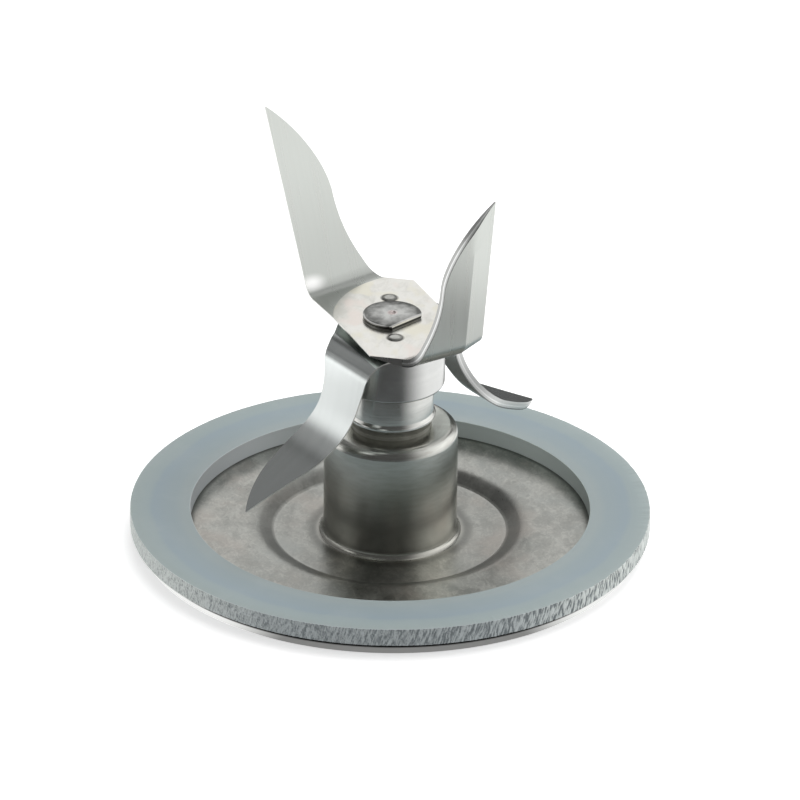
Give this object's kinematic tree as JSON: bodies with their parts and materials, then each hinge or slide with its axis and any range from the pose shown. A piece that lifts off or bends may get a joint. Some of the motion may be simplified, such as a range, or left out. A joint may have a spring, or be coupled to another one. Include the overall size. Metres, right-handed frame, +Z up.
{
  "type": "blender blade assembly",
  "caption": "Round base plate with rubber gasket and central hub, carrying a spinning shaft with two crossed, folded cutting blades and a square drive socket below.",
  "frame": {"origin": "on the shaft axis at the lower edge of the base plate's rim", "axes": "+Z up along the shaft towards the blades; +Y away from the camera; +X to the right in the picture"},
  "size_m": [0.06, 0.06, 0.0487],
  "materials": {
    "plate_steel": "satin, slightly mottled",
    "gasket_rubber": "satin",
    "housing_steel": "turned",
    "spring_steel": "satin",
    "bronze": "porous, oiled",
    "felt": "oiled felt",
    "seal_rubber": "matt",
    "thrust_plastic": "smooth",
    "shaft_steel": "turned",
    "neck_steel": "polished",
    "collar_steel": "polished",
    "lower_blade_steel": "brushed lengthwise",
    "upper_blade_steel": "brushed lengthwise, ground edge",
    "pin_steel": "satin",
    "coupling_steel": "sintered, dull"
  },
  "bodies": {
    "base": {"base_plate": "plate_steel", "gasket": "gasket_rubber", "bearing_housing": "housing_steel", "bearing_retainer": "spring_steel", "lower_bushing": "bronze", "oil_wick": "felt", "upper_bushing": "bronze", "lip_seal": "seal_rubber", "upper_thrust_washer": "thrust_plastic", "lower_thrust_washer": "thrust_plastic"},
    "rotor": {"shaft": "shaft_steel", "slinger_cup": "neck_steel", "collar": "collar_steel", "lower_blade": "lower_blade_steel", "upper_blade": "upper_blade_steel", "locating_pins": "pin_steel", "upper_steel_washer": "spring_steel", "lower_steel_washer": "spring_steel", "wave_washer": "spring_steel", "drive_coupling": "coupling_steel"}
  },
  "joints": [
    {"name": "blade_spin", "type": "hinge", "parent": "base", "child": "rotor", "pos_m": [0, 0, 0.012], "axis": [0, 0, 1], "continuous": true}
  ]
}
